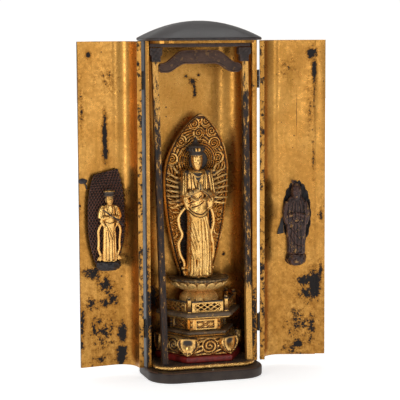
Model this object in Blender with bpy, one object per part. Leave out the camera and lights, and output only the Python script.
"""Portable shrine: a lacquered case with two curved doors and a standing gilt figure inside.

Metres, +Z up. The origin is the centre of the base's underside and the front faces -Y.
The doors are modelled shut and then turned open about their hinge axes.
"""

import math

import bmesh
import bpy
from mathutils import Matrix, Vector

# General fits
TOUCH = 0.0003
DOOR_GAP = 0.0008

# Base slab and roof, which share one plan
BASE_WIDTH = 0.1312
BASE_DEPTH = 0.0936
BASE_HEIGHT = 0.0118
BASE_FRONT_RADIUS = 0.0285
BASE_BACK_RADIUS = 0.032
BASE_EDGE_ROUND = 0.0022
STEP_HEIGHT = 0.0042
STEP_SETBACK = 0.0113
STEP_FRONT_RADIUS = 0.020
CEILING_STEP_HEIGHT = 0.0028
ROOF_LIP = 0.0026
ROOF_RISE = 0.019

# Case shell
CASE_WIDTH = 0.1292
CASE_HEIGHT = 0.3602
CASE_FRONT_Y = -0.0100
CASE_WALL = 0.0058
CASE_BACK_WALL = 0.0055
CASE_BACK_SETBACK = 0.0015
CASE_BACK_RADIUS = 0.031

# Doors, measured shut
DOOR_THICKNESS = 0.0055
DOOR_SETBACK = 0.0029
DOOR_CORNER_RADIUS = 0.0245
DOOR_MEETING_X = -0.0004
DOOR_LAP = 0.0108
DOOR_LAP_DEPTH = 0.0026
LEFT_DOOR_OPEN = math.radians(172.0)
RIGHT_DOOR_OPEN = math.radians(164.0)

# Hinges
HINGE_OUTSET = 0.0014
HINGE_HEIGHT = 0.0200
HINGE_LEAF_WIDTH = 0.0078
HINGE_LEAF_THICKNESS = 0.0008
HINGE_KNUCKLE_RADIUS = 0.0010
HINGE_LOW_RISE = 0.0339
HINGE_TOP_DROP = 0.0328
HINGE_SLACK = 0.0006

# Posts, beams and brackets of the inner front frame
POST_SECTION = 0.0066
POST_WALL_GAP = 0.0040
POST_SETBACK = 0.0048
POST_TOP_DROP = 0.0207
LEFT_POST_LEAN_X = 0.0048
LEFT_POST_LEAN_Y = -0.0160
RIGHT_POST_LEAN_X = -0.0004
RIGHT_POST_LEAN_Y = -0.0150
ARCH_DEPTH = 0.0060
ARCH_END_LOW_DROP = 0.0325
ARCH_END_TOP_DROP = 0.0210
ARCH_CROWN_DROP = 0.0095
ARCH_RAISED_DROP = 0.0220
ARCH_FLAT_HALF = 0.0185
ARCH_FOOT_HALF = 0.0330
BRACKET_WIDTH = 0.0165
BRACKET_FOOT_WIDTH = 0.0105
BRACKET_DEPTH = 0.0090
BRACKET_INSET = 0.0010
BRACKET_FOOT_HEIGHT = 0.0065
BRACKET_KNEE = 0.0016
BEAM_HEIGHT = 0.0042
BEAM_DEPTH = 0.0060

# Six-sided pedestal: apothem is the distance from its widest line to its front face
PEDESTAL_X = 0.0045
PEDESTAL_SETBACK = 0.0180
PEDESTAL_BACK_GAP = 0.0078
WIDE_RATIO = 1.14
FRONT_RATIO = 0.58
PLINTH_WALL_GAP = 0.0030
PLINTH_HEIGHT = 0.0065
SKIRT_INSET = 0.0025
SKIRT_HEIGHT = 0.0205
SKIRT_BULGE = 0.0020
SKIRT_PETAL_WIDTH = 0.0235
SKIRT_PETAL_DEPTH = 0.0075
SKIRT_SCROLL = 0.0072
SKIRT_SCROLL_BAR = 0.0017
WAIST_SLAB_INSET = 0.0075
WAIST_SLAB_HEIGHT = 0.0055
WAIST_INSET = 0.0170
WAIST_HEIGHT = 0.0125
WAIST_COLUMN_RADIUS = 0.0022
PLATFORM_INSET = 0.0010
PLATFORM_HEIGHT = 0.0090
RAIL_INSET = 0.0080
RAIL_HEIGHT = 0.0125
RAIL_THICKNESS = 0.0022
RAIL_BAR = 0.0018
RAIL_POST = 0.0046
RAIL_POST_HEIGHT = 0.0180

# Lotus seat
LOTUS_X = 0.0050
LOTUS_FORWARD = 0.0008
LOTUS_BACK_GAP = 0.0038
LOTUS_LOWER_RADIUS = 0.0225
LOTUS_LOWER_HEIGHT = 0.0195
LOTUS_UPPER_RADIUS = 0.0350
LOTUS_UPPER_HEIGHT = 0.0150
LOTUS_PETALS = 15

# Main figure and mandorla
FIGURE_X = 0.0034
FIGURE_FORWARD = 0.0088
FIGURE_HEIGHT = 0.1585
SIDE_ARMS = 8
MANDORLA_X = 0.0039
MANDORLA_BACK_GAP = 0.0098
MANDORLA_HEIGHT = 0.1835
MANDORLA_HALF_WIDTH = 0.0378
MANDORLA_THICKNESS = 0.0026
MANDORLA_LEAN = 0.0080
MANDORLA_TIP_SHIFT = 0.0040
HALO_INNER_RADIUS = 0.0195
HALO_OUTER_RADIUS = 0.0265
HALO_BAR = 0.0010
CLOUD_RADIUS = 0.0058
CLOUD_BAR = 0.0013

# Door figures, in the shut position
LEFT_FIGURE_X = -0.0315
LEFT_FIGURE_Z = 0.1315
LEFT_FIGURE_HEIGHT = 0.0805
LEFT_MANDORLA_Z = 0.1210
LEFT_MANDORLA_HEIGHT = 0.1120
LEFT_MANDORLA_X = -0.0303
LEFT_MANDORLA_HALF_WIDTH = 0.0214
LEFT_MANDORLA_STANDOFF = 0.0046
LEFT_MANDORLA_THICKNESS = 0.0018
RIGHT_FIGURE_X = 0.0225
RIGHT_FIGURE_Z = 0.1305
RIGHT_FIGURE_HEIGHT = 0.0810
ROCK_HEIGHT = 0.0105
ROCK_DEPTH = 0.0150
LEFT_ROCK_WIDTH = 0.0290
RIGHT_ROCK_WIDTH = 0.0250
RIGHT_ROCK_EXTRA = 0.0025
PEG_SIZE = 0.0060
PEG_BITE = 0.0004
LEAF_ACROSS = 0.0262
LEAF_UP = 0.0885
LEAF_WIDTH = 0.0110
LEAF_HEIGHT = 0.0062
LEAF_THICKNESS = 0.0016
LEAF_STEM = 0.0085
LEAF_STEM_RADIUS = 0.0007
FLAME_HALF_WIDTH = 0.0162
FLAME_HALF_HEIGHT = 0.0385
FLAME_SHIFT = -0.0012
FLAME_UP = 0.0440
FLAME_THICKNESS = 0.0022
WING_ACROSS = 0.0145
WING_UP = 0.0330
WING_HEIGHT = 0.0200
WING_WIDTH = 0.0062
WING_THICKNESS = 0.0018

# Heights and places worked out from the values above
CASE_LOW_Z = BASE_HEIGHT + TOUCH
CASE_HIGH_Z = CASE_LOW_Z + CASE_HEIGHT
ROOF_Z = CASE_HIGH_Z + TOUCH
FRONT_Y = -BASE_DEPTH / 2
BACK_Y = BASE_DEPTH / 2
CASE_BACK_Y = BACK_Y - CASE_BACK_SETBACK
INNER_BACK_Y = CASE_BACK_Y - CASE_BACK_WALL
INNER_HALF = CASE_WIDTH / 2 - CASE_WALL
STEP_Z = BASE_HEIGHT + TOUCH
FLOOR_Z = STEP_Z + STEP_HEIGHT
CEILING_Z = ROOF_Z - TOUCH - CEILING_STEP_HEIGHT
HINGE_X = CASE_WIDTH / 2 + HINGE_OUTSET
HINGE_Y = CASE_FRONT_Y - DOOR_GAP / 2
DOOR_LOW_Z = BASE_HEIGHT + DOOR_GAP
DOOR_HIGH_Z = ROOF_Z - DOOR_GAP
DOOR_OUTER_Y = FRONT_Y + DOOR_SETBACK
DOOR_INNER_Y = DOOR_OUTER_Y + DOOR_THICKNESS
HINGE_LOW_Z = CASE_LOW_Z + HINGE_LOW_RISE
HINGE_HIGH_Z = CASE_HIGH_Z - HINGE_TOP_DROP - HINGE_HEIGHT
POST_TOP_X = INNER_HALF - POST_WALL_GAP - POST_SECTION / 2
POST_TOP_Y = CASE_FRONT_Y + POST_SETBACK
POST_TOP_Z = CEILING_Z - POST_TOP_DROP
POST_LEFT_FOOT = (-POST_TOP_X + LEFT_POST_LEAN_X, POST_TOP_Y + LEFT_POST_LEAN_Y)
POST_RIGHT_FOOT = (POST_TOP_X + RIGHT_POST_LEAN_X, POST_TOP_Y + RIGHT_POST_LEAN_Y)
ARCH_END_LOW_Z = CEILING_Z - ARCH_END_LOW_DROP
ARCH_END_TOP_Z = CEILING_Z - ARCH_END_TOP_DROP
ARCH_CROWN_Z = CEILING_Z - ARCH_CROWN_DROP
ARCH_RAISED_Z = CEILING_Z - ARCH_RAISED_DROP
PEDESTAL_Y = INNER_BACK_Y - PEDESTAL_SETBACK
PEDESTAL_BACK_Y = INNER_BACK_Y - PEDESTAL_BACK_GAP
PLINTH_APOTHEM = (INNER_HALF - PEDESTAL_X - PLINTH_WALL_GAP) / WIDE_RATIO
SKIRT_APOTHEM = PLINTH_APOTHEM - SKIRT_INSET
WAIST_SLAB_APOTHEM = PLINTH_APOTHEM - WAIST_SLAB_INSET
WAIST_APOTHEM = PLINTH_APOTHEM - WAIST_INSET
PLATFORM_APOTHEM = PLINTH_APOTHEM - PLATFORM_INSET
RAIL_APOTHEM = PLINTH_APOTHEM - RAIL_INSET
LOTUS_Y = PEDESTAL_Y - LOTUS_FORWARD
LOTUS_BACK_Y = INNER_BACK_Y - LOTUS_BACK_GAP
FIGURE_Y = PEDESTAL_Y - FIGURE_FORWARD
MANDORLA_Y = INNER_BACK_Y - MANDORLA_BACK_GAP
PLINTH_Z = FLOOR_Z + TOUCH
SKIRT_Z = PLINTH_Z + PLINTH_HEIGHT + TOUCH
WAIST_SLAB_Z = SKIRT_Z + SKIRT_HEIGHT + TOUCH
WAIST_Z = WAIST_SLAB_Z + WAIST_SLAB_HEIGHT + TOUCH
PLATFORM_Z = WAIST_Z + WAIST_HEIGHT + TOUCH
RAIL_Z = PLATFORM_Z + PLATFORM_HEIGHT + TOUCH
LOTUS_LOWER_Z = RAIL_Z
LOTUS_UPPER_Z = LOTUS_LOWER_Z + LOTUS_LOWER_HEIGHT + TOUCH
FIGURE_Z = LOTUS_UPPER_Z + LOTUS_UPPER_HEIGHT + TOUCH


# Scene and mesh helpers

def clear_scene():
    """Remove every object of the open scene."""
    for old in list(bpy.data.objects):
        bpy.data.objects.remove(old, do_unlink=True)


def make_material(name, color, roughness, metallic=0.0):
    """A Principled material with the part's colour and finish."""
    material = bpy.data.materials.new(name)
    material.use_nodes = True
    shader = material.node_tree.nodes["Principled BSDF"]
    shader.inputs["Base Color"].default_value = (*color, 1.0)
    shader.inputs["Roughness"].default_value = roughness
    shader.inputs["Metallic"].default_value = metallic
    return material


def add_piece(name, mesh, material, axis=None):
    """One named object; with an axis empty it is parented there and turns with it."""
    piece = bpy.data.objects.new(name, mesh)
    mesh.name = name
    mesh.materials.clear()
    mesh.materials.append(material)
    bpy.context.scene.collection.objects.link(piece)
    if axis is not None:
        mesh.transform(Matrix.Translation(-axis.location))
        piece.parent = axis
    return piece


def loft(rings):
    """Closed mesh through rings of equally many points, with flat ends."""
    shape = bmesh.new()
    loops = [[shape.verts.new(point) for point in ring] for ring in rings]
    count = len(rings[0])
    for low, high in zip(loops, loops[1:]):
        for index in range(count):
            after = (index + 1) % count
            shape.faces.new((low[index], low[after], high[after], high[index]))
    shape.faces.new(list(reversed(loops[0])))
    shape.faces.new(loops[-1])
    bmesh.ops.recalc_face_normals(shape, faces=shape.faces)
    mesh = bpy.data.meshes.new("loft")
    shape.to_mesh(mesh)
    shape.free()
    return mesh


def prism(outline, low_z, high_z):
    """A plan outline stood up between two heights."""
    return loft([[(x, y, z) for x, y in outline] for z in (low_z, high_z)])


def slab_y(outline, low_y, high_y):
    """An X-Z outline given a thickness along Y."""
    return loft([[(x, y, z) for x, z in outline] for y in (high_y, low_y)])


def box(low, high):
    """A square-cut block between two corners."""
    outline = [(low[0], low[1]), (high[0], low[1]), (high[0], high[1]), (low[0], high[1])]
    return prism(outline, low[2], high[2])


def tube(points, radii, sides=5, flatten=1.0):
    """A closed round bar along points, with its own radius at each."""
    path = [Vector(point) for point in points]
    rings = []
    for index, centre in enumerate(path):
        before = path[max(index - 1, 0)]
        after = path[min(index + 1, len(path) - 1)]
        along = (after - before).normalized()
        side = along.cross(Vector((0, 1, 0)))
        if side.length < 0.1:
            side = Vector((1, 0, 0))
        side.normalize()
        front = side.cross(along).normalized()
        ring = []
        for step in range(sides):
            angle = math.tau * step / sides
            offset = side * math.cos(angle) + front * math.sin(angle) * flatten
            ring.append(centre + offset * radii[index])
        rings.append(ring)
    return loft(rings)


def combine(meshes, operation="UNION"):
    """One solid from several closed meshes: the first takes the others in, or loses them."""
    scene = bpy.context.scene
    body = bpy.data.objects.new("combine_body", meshes[0])
    scene.collection.objects.link(body)
    tools = bpy.data.collections.new("combine_tools")
    scene.collection.children.link(tools)
    for mesh in meshes[1:]:
        tools.objects.link(bpy.data.objects.new("combine_tool", mesh))
    cut = body.modifiers.new("combine", "BOOLEAN")
    cut.operation = operation
    cut.solver = "EXACT"
    cut.operand_type = "COLLECTION"
    cut.collection = tools
    graph = bpy.context.evaluated_depsgraph_get()
    result = bpy.data.meshes.new_from_object(body.evaluated_get(graph))
    for tool in list(tools.objects):
        bpy.data.objects.remove(tool, do_unlink=True)
    bpy.data.objects.remove(body, do_unlink=True)
    bpy.data.collections.remove(tools)
    return result


def move(mesh, offset, turn=0.0):
    """Turn a mesh about its own Z axis and set it in place."""
    mesh.transform(Matrix.Translation(Vector(offset)) @ Matrix.Rotation(turn, 4, "Z"))
    return mesh


# Plan outlines

def arc(centre, radius, start, end, steps):
    """Points on an arc, angles in degrees."""
    points = []
    for step in range(steps + 1):
        angle = math.radians(start + (end - start) * step / steps)
        points.append((centre[0] + radius * math.cos(angle), centre[1] + radius * math.sin(angle)))
    return points


def rounded_plan(half, front, back, front_radius, back_radius, steps=6):
    """Rounded rectangle, anticlockwise from its front right corner."""
    plan = arc((half - front_radius, front + front_radius), front_radius, -90, 0, steps)
    plan += arc((half - back_radius, back - back_radius), back_radius, 0, 90, steps)
    plan += arc((-half + back_radius, back - back_radius), back_radius, 90, 180, steps)
    plan += arc((-half + front_radius, front + front_radius), front_radius, 180, 270, steps)
    return plan


def base_plan(inset=0.0):
    """The shared plan of base and roof, drawn in by an inset."""
    return rounded_plan(BASE_WIDTH / 2 - inset, FRONT_Y + inset, BACK_Y - inset,
                        BASE_FRONT_RADIUS - inset, BASE_BACK_RADIUS - inset)


def tier_plan(apothem, inset=0.0):
    """Six-sided plan of the pedestal, cut off straight near the back wall."""
    reach = apothem - inset
    wide = reach * WIDE_RATIO
    front = reach * FRONT_RATIO
    slope = (WIDE_RATIO - FRONT_RATIO)
    back_y = PEDESTAL_BACK_Y - inset
    back = wide - slope * (back_y - PEDESTAL_Y)
    return [
        (PEDESTAL_X - front, PEDESTAL_Y - reach),
        (PEDESTAL_X + front, PEDESTAL_Y - reach),
        (PEDESTAL_X + wide, PEDESTAL_Y),
        (PEDESTAL_X + back, back_y),
        (PEDESTAL_X - back, back_y),
        (PEDESTAL_X - wide, PEDESTAL_Y),
    ]


def tier(apothem, sections):
    """Six-sided moulding: sections are (height, inset) pairs from the bottom up."""
    rings = []
    for height, inset in sections:
        rings.append([(x, y, height) for x, y in tier_plan(apothem, inset)])
    return loft(rings)


# Case

def build_base(lacquer, gilt):
    """Base slab with eased edges, and the floor step inside the case."""
    sections = ((0.0, BASE_EDGE_ROUND * 0.6), (BASE_EDGE_ROUND, 0.0),
                (BASE_HEIGHT - BASE_EDGE_ROUND, 0.0), (BASE_HEIGHT, BASE_EDGE_ROUND * 0.6))
    rings = [[(x, y, z) for x, y in base_plan(inset)] for z, inset in sections]
    add_piece("base_slab", loft(rings), lacquer)
    add_piece("floor_step", prism(step_plan(), STEP_Z, FLOOR_Z), gilt)


def step_plan():
    """Plan of the floor and ceiling steps: snug in the case, set back from the doors."""
    clearance = DOOR_GAP
    half = INNER_HALF - clearance
    front = FRONT_Y + STEP_SETBACK
    back_radius = CASE_BACK_RADIUS - CASE_WALL
    return rounded_plan(half, front, INNER_BACK_Y - clearance, STEP_FRONT_RADIUS, back_radius)


def build_case(lacquer, gilt):
    """U-shaped shell of the case, and the gilt step under the roof."""
    half = CASE_WIDTH / 2
    outer_radius = CASE_BACK_RADIUS
    inner_radius = CASE_BACK_RADIUS - CASE_WALL
    plan = [(half, CASE_FRONT_Y)]
    plan += arc((half - outer_radius, CASE_BACK_Y - outer_radius), outer_radius, 0, 90, 7)
    plan += arc((-half + outer_radius, CASE_BACK_Y - outer_radius), outer_radius, 90, 180, 7)
    plan += [(-half, CASE_FRONT_Y), (-INNER_HALF, CASE_FRONT_Y)]
    plan += arc((-INNER_HALF + inner_radius, INNER_BACK_Y - inner_radius), inner_radius, 180, 90, 7)
    plan += arc((INNER_HALF - inner_radius, INNER_BACK_Y - inner_radius), inner_radius, 90, 0, 7)
    plan += [(INNER_HALF, CASE_FRONT_Y)]
    add_piece("case_shell", prism(plan, CASE_LOW_Z, CASE_HIGH_Z), gilt)
    add_piece("ceiling_step", prism(step_plan(), CEILING_Z, CEILING_Z + CEILING_STEP_HEIGHT), gilt)
    rings = [[(x, y, ROOF_Z) for x, y in base_plan(BASE_EDGE_ROUND * 0.3)]]
    rings.append([(x, y, ROOF_Z + ROOF_LIP * 0.3) for x, y in base_plan()])
    centre_y = (FRONT_Y + BACK_Y) / 2
    for share in (1.0, 0.92, 0.8, 0.65, 0.48, 0.3, 0.12):
        z = ROOF_Z + ROOF_LIP + ROOF_RISE * (1 - share * share)
        rings.append([(x * share, centre_y + (y - centre_y) * share, z) for x, y in base_plan()])
    add_piece("roof", loft(rings), lacquer)


def lean_bar(foot, top, foot_z, top_z, section):
    """Square bar whose two ends are level: feet and top are X-Y centres."""
    half = section / 2
    rings = []
    for (x, y), z in ((foot, foot_z), (top, top_z)):
        rings.append([(x - half, y - half, z), (x + half, y - half, z),
                      (x + half, y + half, z), (x - half, y + half, z)])
    return loft(rings)


def arch_outline():
    """Front view of the arched beam between the posts."""
    half = POST_TOP_X - POST_SECTION / 2 - TOUCH
    under = [(-half, ARCH_END_LOW_Z), (-ARCH_FOOT_HALF, ARCH_END_LOW_Z)]
    middle = (ARCH_FOOT_HALF + ARCH_FLAT_HALF) / 2
    under += [(-middle, (ARCH_END_LOW_Z + ARCH_RAISED_Z) / 2 - 0.0015), (-ARCH_FLAT_HALF, ARCH_RAISED_Z)]
    under += [(-x, z) for x, z in reversed(under)]
    rising_half = POST_TOP_X - BRACKET_INSET - BRACKET_WIDTH / 2 - TOUCH
    steps = 10
    over = [(half, ARCH_END_TOP_Z)]
    for step in range(steps + 1):
        share = 1 - 2 * step / steps
        rise = 1 - abs(share) ** 2.5
        over.append((rising_half * share, ARCH_END_TOP_Z + (ARCH_CROWN_Z - ARCH_END_TOP_Z) * rise))
    over.append((-half, ARCH_END_TOP_Z))
    return under + over


def build_front_frame(dark, gilt):
    """Posts, brackets, arched beam and header beam of the inner front frame."""
    post_low = FLOOR_Z + TOUCH
    left = lean_bar(POST_LEFT_FOOT, (-POST_TOP_X, POST_TOP_Y), post_low, POST_TOP_Z, POST_SECTION)
    right = lean_bar(POST_RIGHT_FOOT, (POST_TOP_X, POST_TOP_Y), post_low, POST_TOP_Z, POST_SECTION)
    add_piece("post_left", left, gilt)
    add_piece("post_right", right, gilt)
    # The posts lean forward, so the arch stands far enough back to clear them.
    arch_y = POST_TOP_Y
    arch = slab_y(arch_outline(), arch_y - ARCH_DEPTH / 2, arch_y + ARCH_DEPTH / 2)
    add_piece("arch_beam", arch, dark)
    bracket_low = POST_TOP_Z + TOUCH
    beam_high = CEILING_Z - TOUCH
    bracket_high = beam_high - BEAM_HEIGHT - TOUCH
    for name, side in (("bracket_left", -1), ("bracket_right", 1)):
        x = side * (POST_TOP_X - BRACKET_INSET)
        foot = BRACKET_FOOT_WIDTH / 2
        head = BRACKET_WIDTH / 2 - BRACKET_INSET
        knee = bracket_low + BRACKET_FOOT_HEIGHT
        outline = [(x - foot, bracket_low), (x + foot, bracket_low), (x + foot, knee),
                   (x + head, knee + BRACKET_KNEE), (x + head, bracket_high), (x - head, bracket_high),
                   (x - head, knee + BRACKET_KNEE), (x - foot, knee)]
        low_y = POST_TOP_Y - BRACKET_DEPTH / 2
        add_piece(name, slab_y(outline, low_y, low_y + BRACKET_DEPTH), dark)
    half = INNER_HALF - DOOR_GAP
    low = (-half, POST_TOP_Y - BEAM_DEPTH / 2, beam_high - BEAM_HEIGHT)
    high = (half, POST_TOP_Y + BEAM_DEPTH / 2, beam_high)
    add_piece("header_beam", box(low, high), dark)


# Doors and hinges

def door_plan(side):
    """Plan of one shut door: side -1 is the left door, +1 the right one."""
    half = CASE_WIDTH / 2
    back = CASE_FRONT_Y - DOOR_GAP
    radius = DOOR_CORNER_RADIUS
    inner_radius = radius - DOOR_THICKNESS
    centre = (half - radius, DOOR_OUTER_Y + radius)
    lap_y = DOOR_OUTER_Y + DOOR_LAP_DEPTH
    if side > 0:
        meeting = DOOR_MEETING_X + DOOR_GAP / 2
        lap = DOOR_MEETING_X - DOOR_LAP
        edge = [(meeting, DOOR_INNER_Y), (meeting, lap_y), (lap, lap_y), (lap, DOOR_OUTER_Y)]
    else:
        meeting = -DOOR_MEETING_X + DOOR_GAP / 2
        lap = meeting + DOOR_LAP
        clear_y = lap_y + DOOR_GAP / 2
        edge = [(meeting, DOOR_INNER_Y), (meeting, clear_y), (lap, clear_y), (lap, DOOR_OUTER_Y)]
    plan = list(edge)
    plan += arc(centre, radius, -90, 0, 6)
    plan += [(half, back), (half - DOOR_THICKNESS, back)]
    plan += arc(centre, inner_radius, 0, -90, 6)
    if side < 0:
        plan = [(-x, y) for x, y in reversed(plan)]
    return plan


def hinge_leaf(side, low_z, on_door):
    """One leaf of a butt hinge with its knuckles, on the case or on the shut door."""
    knuckle = HINGE_HEIGHT / 3
    inner = CASE_WIDTH / 2 + TOUCH
    outer = inner + HINGE_LEAF_THICKNESS
    direction = -1 if on_door else 1
    near = HINGE_Y + direction * (HINGE_KNUCKLE_RADIUS + HINGE_SLACK)
    far = HINGE_Y + direction * (HINGE_KNUCKLE_RADIUS + HINGE_LEAF_WIDTH)
    plate = box((inner, min(near, far), low_z), (outer, max(near, far), low_z + HINGE_HEIGHT))
    spans = [(1, 2)] if on_door else [(0, 1), (2, 3)]
    meshes = [plate]
    for start, end in spans:
        low = low_z + start * knuckle + TOUCH / 2
        high = low_z + end * knuckle - TOUCH / 2
        tab_far = near + direction * HINGE_KNUCKLE_RADIUS
        meshes.append(box((inner, min(HINGE_Y, tab_far), low), (outer, max(HINGE_Y, tab_far), high)))
        circle = arc((HINGE_X, HINGE_Y), HINGE_KNUCKLE_RADIUS, 0, 300, 5)
        meshes.append(prism(circle, low - TOUCH / 8, high + TOUCH / 8))
    mesh = combine(meshes)
    if side < 0:
        mesh.transform(Matrix.Scale(-1, 4, (1, 0, 0)))
        mesh.flip_normals()
    return mesh


def hinge_axis(name, side):
    """Empty on a door's hinge axis."""
    axis = bpy.data.objects.new(name, None)
    axis.location = (side * HINGE_X, HINGE_Y, 0.0)
    bpy.context.scene.collection.objects.link(axis)
    return axis


def build_doors(gilt, metal, left_axis, right_axis):
    """Both doors and the four butt hinges."""
    add_piece("left_door", prism(door_plan(-1), DOOR_LOW_Z, DOOR_HIGH_Z), gilt, left_axis)
    add_piece("right_door", prism(door_plan(1), DOOR_LOW_Z, DOOR_HIGH_Z), gilt, right_axis)
    for side, word, axis in ((-1, "left", left_axis), (1, "right", right_axis)):
        for place, low_z in (("lower", HINGE_LOW_Z), ("upper", HINGE_HIGH_Z)):
            add_piece(f"hinge_{word}_{place}_case", hinge_leaf(side, low_z, False), metal)
            add_piece(f"hinge_{word}_{place}_door", hinge_leaf(side, low_z, True), metal, axis)


# Pedestal

def build_pedestal(red, gilt, dark):
    """Plinth, carved skirt, waist and platform, from the floor step up."""
    plinth = ((PLINTH_Z, 0.0), (PLINTH_Z + PLINTH_HEIGHT, 0.0))
    add_piece("plinth", tier(PLINTH_APOTHEM, plinth), red)
    add_piece("skirt", carved_skirt(), gilt)
    slab = WAIST_SLAB_HEIGHT
    sections = ((WAIST_SLAB_Z, 0.0), (WAIST_SLAB_Z + 0.3 * slab, 0.0), (WAIST_SLAB_Z + 0.3 * slab, 0.0022),
                (WAIST_SLAB_Z + 0.6 * slab, 0.0022), (WAIST_SLAB_Z + 0.6 * slab, 0.0010),
                (WAIST_SLAB_Z + slab, 0.0010))
    add_piece("waist_slab", tier(WAIST_SLAB_APOTHEM, sections), dark)
    add_piece("waist_box", waist_box(), gilt)
    high = PLATFORM_HEIGHT
    sections = ((PLATFORM_Z, 0.0100), (PLATFORM_Z + 0.22 * high, 0.0070), (PLATFORM_Z + 0.45 * high, 0.0060),
                (PLATFORM_Z + 0.5 * high, 0.0010), (PLATFORM_Z + 0.75 * high, 0.0),
                (PLATFORM_Z + high, 0.0012))
    add_piece("platform", tier(PLATFORM_APOTHEM, sections), dark)


def petal(width, height, depth):
    """Pointed petal hanging from its top edge: faces -Y, its back in the plane Y = 0."""
    shares = ((0.0, 0.72), (0.25, 1.0), (0.55, 0.86), (0.8, 0.5), (1.0, 0.08))
    rings = []
    for down, wide in shares:
        half = width / 2 * wide
        bulge = depth * math.sin(math.pi * (0.25 + 0.6 * down))
        z = -height * down
        ring = [(-half, 0.0012, z), (-half * 0.92, -bulge * 0.45, z), (0.0, -bulge, z),
                (half * 0.92, -bulge * 0.45, z), (half, 0.0012, z), (0.0, 0.0024, z)]
        rings.append(ring)
    return loft(list(reversed(rings)))


def scroll(radius, bar, turns=1.35, steps=12):
    """Flat cloud scroll, a spiral bar in the X-Z plane facing -Y."""
    points = []
    radii = []
    for step in range(steps + 1):
        share = step / steps
        angle = math.tau * turns * share
        reach = radius * (1.0 - 0.72 * share)
        points.append((reach * math.cos(angle), -0.0004 * share, reach * math.sin(angle)))
        radii.append(bar * (1.0 - 0.35 * share))
    return tube(points, radii, sides=4)


def side_frames(apothem, inset=0.0):
    """Middle, length and turn of each of the five sides that show, and its corner points."""
    plan = tier_plan(apothem, inset)
    order = ((5, 0), (0, 1), (1, 2), (2, 3), (4, 5))
    frames = []
    for first, second in order:
        a = Vector(plan[first])
        b = Vector(plan[second])
        along = b - a
        frames.append(((a + b) / 2, along.length, math.atan2(along.y, along.x), a, b))
    return frames


def carved_skirt():
    """Swelling hexagonal skirt with a hanging petal at each corner and scrolls between."""
    top = SKIRT_Z + SKIRT_HEIGHT
    sections = ((SKIRT_Z, 0.0030), (SKIRT_Z + 0.25 * SKIRT_HEIGHT, 0.0035),
                (SKIRT_Z + 0.7 * SKIRT_HEIGHT, 0.0030 - SKIRT_BULGE), (top, 0.0040))
    meshes = [tier(SKIRT_APOTHEM, sections)]
    frames = side_frames(SKIRT_APOTHEM, 0.0032)
    corners = ((frames[0][4], frames[0][2], frames[1][2]), (frames[1][4], frames[1][2], frames[2][2]))
    for corner, before, after in corners:
        hanging = petal(SKIRT_PETAL_WIDTH, SKIRT_HEIGHT * 0.88, SKIRT_PETAL_DEPTH)
        meshes.append(move(hanging, (corner.x, corner.y + 0.0015, top - 0.0012), (before + after) / 2))
    for middle, length, turn, _, _ in frames[:3]:
        turned = scroll(SKIRT_SCROLL, SKIRT_SCROLL_BAR)
        meshes.append(move(turned, (middle.x, middle.y, SKIRT_Z + 0.5 * SKIRT_HEIGHT), turn))
    return combine(meshes)


def waist_box():
    """Hexagonal waist with a round column at each corner and a raised frame on each side."""
    low = WAIST_Z
    high = WAIST_Z + WAIST_HEIGHT
    meshes = [tier(WAIST_APOTHEM, ((low, 0.0), (high, 0.0)))]
    for x, y in tier_plan(WAIST_APOTHEM)[:3] + tier_plan(WAIST_APOTHEM)[5:]:
        circle = arc((x, y), WAIST_COLUMN_RADIUS, 0, 315, 7)
        meshes.append(prism(circle, low + 0.0001, high - 0.0001))
    for middle, length, turn, _, _ in side_frames(WAIST_APOTHEM)[:3]:
        half = length / 2 - WAIST_COLUMN_RADIUS * 2.2
        frame = box((-half, -0.0012, 0.0012), (half, 0.0008, WAIST_HEIGHT - 0.0012))
        meshes.append(move(frame, (middle.x, middle.y, low), turn))
    return combine(meshes)


def rail_panel(length):
    """Openwork rail panel with a crossed lattice, standing on Z = 0 along X."""
    half = length / 2
    high = RAIL_HEIGHT
    bar = RAIL_BAR
    thick = RAIL_THICKNESS / 2
    low_bar = bar * 0.8
    meshes = [box((-half, -thick, high - bar), (half, thick, high))]
    meshes.append(box((-half, -thick, 0.0), (half, thick, low_bar)))
    for x in (-half, half - bar):
        meshes.append(box((x, -thick * 0.9, low_bar * 0.5), (x + bar, thick * 0.9, high - bar * 0.5)))
    brace = bar * 0.35
    for sign in (-1, 1):
        x = half - bar * 0.5
        points = [(-x * sign, 0.0, low_bar * 0.7), (x * sign, 0.0, high - bar * 0.7)]
        meshes.append(tube(points, (brace, brace), sides=4))
    return combine(meshes)


def build_railing(gilt):
    """Railing round the platform: a post at each corner, panels between them."""
    corners = tier_plan(RAIL_APOTHEM)
    shown = [corners[4], corners[5], corners[0], corners[1], corners[2], corners[3]]
    half = RAIL_POST / 2
    for index, (x, y) in enumerate(shown):
        low = (x - half, y - half)
        square = [(low[0], low[1]), (low[0] + RAIL_POST, low[1]),
                  (low[0] + RAIL_POST, low[1] + RAIL_POST), (low[0], low[1] + RAIL_POST)]
        rings = []
        for share, size in ((0.0, 1.0), (0.8, 1.0), (0.84, 0.7), (0.9, 1.15), (1.0, 0.5)):
            z = RAIL_Z + RAIL_POST_HEIGHT * share
            rings.append([(x + (px - x) * size, y + (py - y) * size, z) for px, py in square])
        add_piece(f"rail_post_{index + 1}", loft(rings), gilt)
    clearance = half * math.sqrt(2) + TOUCH
    for index, (start, end) in enumerate(zip(shown, shown[1:])):
        a = Vector(start)
        b = Vector(end)
        along = b - a
        panel = rail_panel(along.length - 2 * clearance)
        middle = (a + b) / 2
        place = (middle.x, middle.y, RAIL_Z)
        add_piece(f"rail_panel_{index + 1}", move(panel, place, math.atan2(along.y, along.x)), gilt)


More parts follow.
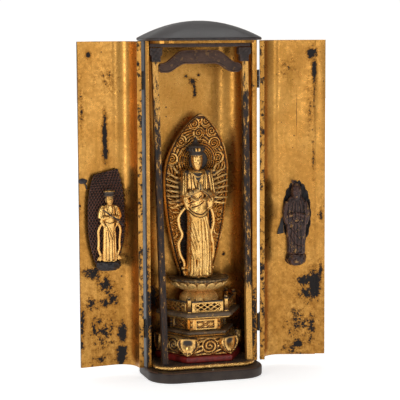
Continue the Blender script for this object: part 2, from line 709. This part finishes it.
def lotus_ring(radius, height, lift, petals, steps, back_y):
    """One level ring of a lotus: scalloped by its petals, cut straight at the back."""
    ring = []
    for step in range(steps):
        angle = math.tau * (step + 0.5) / steps
        scallop = 1.0 - lift * (0.5 + 0.5 * math.cos(petals * angle))
        x = LOTUS_X + radius * scallop * math.cos(angle)
        y = LOTUS_Y + radius * scallop * math.sin(angle)
        ring.append((x, min(y, back_y), height))
    return ring


def build_lotus(gilt):
    """Lower drum with drooping petals and the upper lotus bowl."""
    steps = LOTUS_PETALS * 3
    lower = ((0.0, 0.84, 0.0), (0.45, 0.84, 0.0), (0.5, 1.0, 0.08), (0.62, 0.96, 0.08),
             (0.85, 0.8, 0.04), (1.0, 0.62, 0.0))
    rings = []
    for share, wide, lift in lower:
        height = LOTUS_LOWER_Z + LOTUS_LOWER_HEIGHT * share
        radius = LOTUS_LOWER_RADIUS * wide
        rings.append(lotus_ring(radius, height, lift, LOTUS_PETALS, steps, LOTUS_BACK_Y))
    add_piece("lotus_lower", loft(rings), gilt)
    upper = ((0.0, 0.42, 0.0), (0.12, 0.55, 0.02), (0.45, 0.85, 0.06), (0.8, 0.99, 0.06),
             (0.95, 1.0, 0.05), (1.0, 0.94, 0.03))
    rings = []
    for share, wide, lift in upper:
        height = LOTUS_UPPER_Z + LOTUS_UPPER_HEIGHT * share
        radius = LOTUS_UPPER_RADIUS * wide
        rings.append(lotus_ring(radius, height, lift, LOTUS_PETALS, steps, LOTUS_BACK_Y))
    add_piece("lotus_upper", loft(rings), gilt)


# Figures

def body_ring(height, half_width, half_depth, shift_y, folds, fold_depth, steps):
    """One level ring of a robed body, fluted by its folds."""
    ring = []
    for step in range(steps):
        angle = math.tau * step / steps
        flute = 1.0 + fold_depth * math.cos(folds * angle + 0.6)
        x = half_width * flute * math.cos(angle)
        y = shift_y + half_depth * flute * math.sin(angle)
        ring.append((x, y, height))
    return ring


def head_mesh(size, sides=8):
    """Plain egg-shaped head standing on Z = 0, as tall as size."""
    rings = []
    profile = ((0.0, 0.40), (0.1, 0.68), (0.3, 0.9), (0.55, 1.0), (0.8, 0.92), (0.94, 0.62), (1.0, 0.25))
    for share, wide in profile:
        half = size * 0.36 * wide
        rings.append(body_ring(size * share, half, half * 1.12, 0.0, 2, 0.0, sides))
    return loft(rings)


def robe_mesh(height, widths, depth_ratio, folds, fold_depth, steps):
    """Body from hem to neck; widths are (share of height, half-width share, fold share)."""
    rings = []
    for share, wide, fold in widths:
        half = height * wide
        rings.append(body_ring(height * share, half, half * depth_ratio, 0.0, folds, fold_depth * fold, steps))
    return loft(rings)


def main_figure():
    """Standing figure with many arms, its crown, scarves and folded robe."""
    high = FIGURE_HEIGHT
    widths = ((0.0, 0.088, 1.0), (0.03, 0.094, 1.0), (0.18, 0.086, 1.0), (0.34, 0.082, 0.8),
              (0.45, 0.08, 0.5), (0.485, 0.074, 0.1), (0.52, 0.078, 0.1), (0.62, 0.088, 0.2),
              (0.69, 0.098, 0.1), (0.725, 0.082, 0.0), (0.745, 0.034, 0.0), (0.765, 0.03, 0.0))
    meshes = [robe_mesh(high, widths, 0.62, 11, 0.06, 22)]
    head = high * 0.145
    meshes.append(move(head_mesh(head), (0, -high * 0.012, high * 0.745)))
    crown = []
    for share, wide in ((0.86, 0.05), (0.875, 0.055), (0.91, 0.058), (0.915, 0.036), (0.945, 0.026), (0.965, 0.03), (0.998, 0.006)):
        crown.append(body_ring(high * share, high * wide, high * wide, -high * 0.004, 8, 0.04, 16))
    meshes.append(loft(crown))
    for side in (-1, 1):
        shoulder = (side * high * 0.088, 0.0, high * 0.70)
        elbow = (side * high * 0.118, -high * 0.03, high * 0.575)
        wrist = (side * high * 0.03, -high * 0.085, high * 0.60)
        palm = (side * high * 0.006, -high * 0.088, high * 0.65)
        radii = (high * 0.026, high * 0.03, high * 0.014, high * 0.011)
        meshes.append(tube((shoulder, elbow, wrist, palm), radii))
        for index in range(SIDE_ARMS):
            share = index / (SIDE_ARMS - 1)
            root = (side * high * 0.05, high * 0.02, high * (0.705 - 0.15 * share))
            bend = (side * high * 0.15, high * 0.038, high * (0.735 - 0.22 * share))
            hand = (side * high * (0.222 + 0.018 * math.sin(math.pi * share)), high * 0.02,
                    high * (0.765 - 0.275 * share))
            meshes.append(tube((root, bend, hand), (high * 0.013, high * 0.011, high * 0.010), sides=4))
        scarf = []
        radii = []
        for step in range(13):
            share = step / 12
            out = 0.105 + 0.02 * math.sin(math.tau * 1.5 * share)
            z = high * (0.56 - 0.535 * share)
            scarf.append((side * high * out, -high * 0.02 * math.sin(math.pi * share), z))
            radii.append(high * (0.013 if step < 12 else 0.018))
        meshes.append(tube(scarf, radii, sides=5, flatten=0.6))
        foot = tube(((side * high * 0.035, -high * 0.03, high * 0.012),
                     (side * high * 0.035, -high * 0.085, high * 0.010)), (high * 0.0115, high * 0.009))
        meshes.append(foot)
    return combine(meshes)


def mandorla_half_width(share):
    """Half-width of the boat-shaped mandorla as a share of its widest, from foot to tip."""
    if share < 0.635:
        return 0.47 + 0.53 * math.sin(math.pi / 2 * (share / 0.635) ** 0.85)
    rise = (share - 0.635) / 0.365
    return max(1.0 - rise ** 1.9, 0.0) ** 0.78


def mandorla_point(share, across, front):
    """A point on the mandorla's board: across runs -1 to 1, front is its height off the back."""
    z = MANDORLA_HEIGHT * share
    half = MANDORLA_HALF_WIDTH * mandorla_half_width(share)
    x = MANDORLA_X + MANDORLA_TIP_SHIFT * max(share - 0.6, 0) / 0.4 + half * across
    y = MANDORLA_Y - MANDORLA_LEAN * share * share - front
    return (x, y, FIGURE_Z + z)


def mandorla_mesh():
    """Boat-shaped board with a raised rim, a ring behind the head and carved scrolls."""
    steps = 16
    thick = MANDORLA_THICKNESS
    rings = []
    for step in range(steps + 1):
        share = step / steps * 0.995
        across = (-1.0, -0.93, -0.86, 0.0, 0.86, 0.93, 1.0)
        raised = (0.6, 1.25, 0.72, 0.72, 0.72, 1.25, 0.6)
        front = [mandorla_point(share, a, thick * r) for a, r in zip(across, raised)]
        back = [mandorla_point(share, a, 0.0) for a in (1.0, 0.0, -1.0)]
        rings.append(front + back)
    meshes = [loft(rings)]
    halo_z = 0.685
    for radius in (HALO_INNER_RADIUS, HALO_OUTER_RADIUS):
        points = []
        count = 12
        for step in range(count + 1):
            angle = math.pi * (-0.2 + 1.4 * step / count)
            share = halo_z + radius * math.sin(angle) / MANDORLA_HEIGHT
            x, y, z = mandorla_point(share, 0.0, thick * 0.75)
            points.append((MANDORLA_X + radius * math.cos(angle), y, z))
        meshes.append(tube(points, [HALO_BAR] * len(points), sides=4))
    places = ((0.52, 0.80), (0.64, 0.86), (0.76, 0.76), (0.87, 0.52))
    for share, across in places:
        for side in (-1, 1):
            x, y, z = mandorla_point(share, side * across, thick * 0.8)
            coil = scroll(CLOUD_RADIUS, CLOUD_BAR, steps=7)
            if side < 0:
                coil.transform(Matrix.Scale(-1, 4, (1, 0, 0)))
                coil.flip_normals()
            meshes.append(move(coil, (x, y, z)))
    return combine(meshes)


def rock_mesh(width, depth, height, sides=9):
    """Low uneven rock that a door figure stands on, its back flat at Y = 0."""
    rings = []
    for share, wide in ((0.0, 0.62), (0.3, 0.9), (0.75, 1.0), (1.0, 0.9)):
        ring = []
        for step in range(sides):
            angle = math.pi + math.pi * step / (sides - 1)
            rough = 1.0 + 0.08 * math.sin(5 * angle + 3 * share)
            x = width / 2 * wide * rough * math.cos(angle)
            ring.append((x, depth * wide * math.sin(angle), height * share))
        rings.append(ring)
    return loft(rings)


def attendant(height, hooded):
    """Small standing figure for a door: faces -Y and stands on Z = 0."""
    if hooded:
        widths = ((0.0, 0.125, 1.0), (0.12, 0.135, 1.0), (0.4, 0.14, 0.8), (0.6, 0.158, 0.4), (0.74, 0.15, 0.2),
                  (0.82, 0.115, 0.0), (0.86, 0.07, 0.0))
        meshes = [robe_mesh(height, widths, 0.46, 8, 0.05, 16)]
        meshes.append(move(head_mesh(height * 0.2), (0.0, -height * 0.01, height * 0.8)))
        knob = tube(((height * 0.04, 0.0, height * 0.96), (height * 0.05, 0.0, height * 1.05)),
                    (height * 0.02, height * 0.03), sides=6)
        meshes.append(knob)
    else:
        widths = ((0.0, 0.10, 1.0), (0.15, 0.098, 1.0), (0.42, 0.095, 0.8), (0.55, 0.085, 0.3),
                  (0.68, 0.12, 0.1), (0.74, 0.115, 0.0), (0.785, 0.045, 0.0), (0.80, 0.04, 0.0))
        meshes = [robe_mesh(height, widths, 0.5, 8, 0.05, 16)]
        meshes.append(move(head_mesh(height * 0.18), (0.0, -height * 0.01, height * 0.775)))
        crown = [body_ring(height * share, height * wide, height * wide * 0.62, 0.0, 2, 0.0, 12)
                 for share, wide in ((0.915, 0.072), (0.935, 0.09), (0.975, 0.085), (1.0, 0.07))]
        meshes.append(loft(crown))
    for side in (-1, 1):
        shoulder = (side * height * 0.10, 0.0, height * 0.73)
        elbow = (side * height * 0.14, -height * 0.03, height * 0.57)
        hand = (side * height * 0.02, -height * 0.085, height * 0.60)
        meshes.append(tube((shoulder, elbow, hand), (height * 0.035, height * 0.042, height * 0.022)))
        if not hooded:
            scarf = []
            for step in range(9):
                share = step / 8
                out = 0.145 + 0.018 * math.sin(math.tau * share)
                if step == 8:
                    out = 0.11
                scarf.append((side * height * out, -height * 0.01, height * (0.58 - 0.55 * share)))
            meshes.append(tube(scarf, [height * 0.018] * 9, sides=5, flatten=0.6))
    if not hooded:
        rod = tube(((-height * 0.15, -height * 0.1, height * 0.66), (height * 0.19, -height * 0.1, height * 0.44)),
                   (height * 0.012, height * 0.012), sides=5)
        meshes.append(rod)
    return combine(meshes)


def back_reach(figure):
    """How far a figure's back stands behind its own centre."""
    return max(vertex.co.y for vertex in figure.vertices)


def left_mandorla():
    """Narrow oval board behind the left figure, its top broken off aslant."""
    steps = 16
    count = steps
    left = []
    right = []
    for step in range(count + 1):
        share = step / count
        wide = 0.42 + 0.58 * math.sin(math.pi / 2 * min(share / 0.45, 1.0)) ** 0.8
        if share > 0.6:
            wide *= math.cos((share - 0.6) / 0.4 * 0.95) ** 0.8
        half = LEFT_MANDORLA_HALF_WIDTH * wide
        z = LEFT_MANDORLA_Z + LEFT_MANDORLA_HEIGHT * share
        right.append((LEFT_MANDORLA_X + half, z - 0.006 * share ** 6))
        left.append((LEFT_MANDORLA_X - half, z))
    outline = right + list(reversed(left))
    low = DOOR_INNER_Y + LEFT_MANDORLA_STANDOFF
    board = slab_y(outline, low, low + LEFT_MANDORLA_THICKNESS)
    peg_z = LEFT_MANDORLA_Z + LEFT_MANDORLA_HEIGHT * 0.7
    half = PEG_SIZE / 2
    peg = box((LEFT_MANDORLA_X - half, DOOR_INNER_Y + TOUCH, peg_z - half),
              (LEFT_MANDORLA_X + half, low + PEG_BITE, peg_z + half))
    return combine([board, peg])


def leaf_mesh():
    """Small flat leaf with its stem, on the shut left door's inner face."""
    low = DOOR_INNER_Y + TOUCH
    x = LEFT_FIGURE_X + LEAF_ACROSS
    z = LEFT_FIGURE_Z + LEAF_UP
    middle = low + LEAF_THICKNESS / 2
    outline = []
    for step in range(10):
        angle = math.tau * step / 10
        outline.append((x + LEAF_WIDTH / 2 * math.cos(angle), z + LEAF_HEIGHT / 2 * math.sin(angle)))
    leaf = slab_y(outline, low, low + LEAF_THICKNESS)
    foot = (x - LEAF_WIDTH * 0.4, middle, z - LEAF_STEM)
    bar = tube(((x - LEAF_WIDTH * 0.1, middle, z), foot), [LEAF_STEM_RADIUS] * 2, sides=4)
    return combine([leaf, bar])


def build_left_figure(gilt, dark, axis):
    """Gilt attendant of the left door, its rock, its broken mandorla and a leaf."""
    figure = attendant(LEFT_FIGURE_HEIGHT, False)
    stand = DOOR_INNER_Y + LEFT_MANDORLA_STANDOFF + LEFT_MANDORLA_THICKNESS + TOUCH
    place = (LEFT_FIGURE_X, stand + back_reach(figure), LEFT_FIGURE_Z)
    add_piece("left_attendant", move(figure, place, math.pi), gilt, axis)
    rock = rock_mesh(LEFT_ROCK_WIDTH, ROCK_DEPTH - LEFT_MANDORLA_STANDOFF, ROCK_HEIGHT)
    low = LEFT_FIGURE_Z - TOUCH - ROCK_HEIGHT
    add_piece("left_rock", move(rock, (LEFT_FIGURE_X, stand, low), math.pi), dark, axis)
    add_piece("left_mandorla", left_mandorla(), dark, axis)
    add_piece("left_leaf", leaf_mesh(), dark, axis)


def flame_board():
    """Jagged flame-edged board behind the right figure, with a leaf at one side."""
    face = DOOR_INNER_Y + TOUCH
    outline = []
    count = 30
    for step in range(count):
        angle = math.tau * step / count
        jag = 1.0 + (0.035 if step % 2 else -0.02)
        x = RIGHT_FIGURE_X + FLAME_SHIFT + FLAME_HALF_WIDTH * jag * math.cos(angle)
        z = RIGHT_FIGURE_Z + FLAME_UP + FLAME_HALF_HEIGHT * jag * math.sin(angle)
        outline.append((x, z))
    board = slab_y(outline, face, face + FLAME_THICKNESS)
    x = RIGHT_FIGURE_X + WING_ACROSS
    z = RIGHT_FIGURE_Z + WING_UP
    half = WING_HEIGHT / 2
    inset = (FLAME_THICKNESS - WING_THICKNESS) / 2
    tip = (x + WING_WIDTH, z - half * 1.15)
    wing_outline = [(x, z + half), (x, z - half), tip, (x + WING_WIDTH / 2, z)]
    wing = slab_y(wing_outline, face + inset, face + inset + WING_THICKNESS)
    return combine([board, wing])


def build_right_figure(dark, axis):
    """Dark hooded attendant of the right door, its rock and its flame board."""
    add_piece("right_flame", flame_board(), dark, axis)
    stand = DOOR_INNER_Y + TOUCH + FLAME_THICKNESS + TOUCH
    figure = attendant(RIGHT_FIGURE_HEIGHT, True)
    place = (RIGHT_FIGURE_X, stand + back_reach(figure), RIGHT_FIGURE_Z)
    add_piece("right_attendant", move(figure, place, math.pi), dark, axis)
    rock = rock_mesh(RIGHT_ROCK_WIDTH, ROCK_DEPTH, ROCK_HEIGHT + RIGHT_ROCK_EXTRA)
    low = RIGHT_FIGURE_Z - TOUCH - ROCK_HEIGHT - RIGHT_ROCK_EXTRA
    add_piece("right_rock", move(rock, (RIGHT_FIGURE_X, stand, low), math.pi), dark, axis)


def build():
    """The whole shrine, with both doors standing open."""
    clear_scene()
    lacquer = make_material("black_lacquer", (0.035, 0.03, 0.03), 0.35)
    gilt = make_material("gilding", (0.70, 0.42, 0.12), 0.38, 0.75)
    carved = make_material("carved_gilding", (0.62, 0.36, 0.09), 0.42, 0.8)
    dark = make_material("dark_lacquered_wood", (0.06, 0.035, 0.028), 0.55)
    red = make_material("red_lacquer", (0.26, 0.018, 0.012), 0.4)
    metal = make_material("hinge_metal", (0.05, 0.045, 0.04), 0.45, 0.8)
    left_axis = hinge_axis("left_hinge_axis", -1)
    right_axis = hinge_axis("right_hinge_axis", 1)
    build_base(lacquer, gilt)
    build_case(lacquer, gilt)
    build_front_frame(dark, gilt)
    build_doors(gilt, metal, left_axis, right_axis)
    build_pedestal(red, carved, dark)
    build_railing(carved)
    build_lotus(carved)
    add_piece("main_figure", move(main_figure(), (FIGURE_X, FIGURE_Y, FIGURE_Z)), carved)
    add_piece("main_mandorla", mandorla_mesh(), carved)
    build_left_figure(carved, dark, left_axis)
    build_right_figure(dark, right_axis)
    left_axis.rotation_euler.z = -LEFT_DOOR_OPEN
    right_axis.rotation_euler.z = RIGHT_DOOR_OPEN


build()
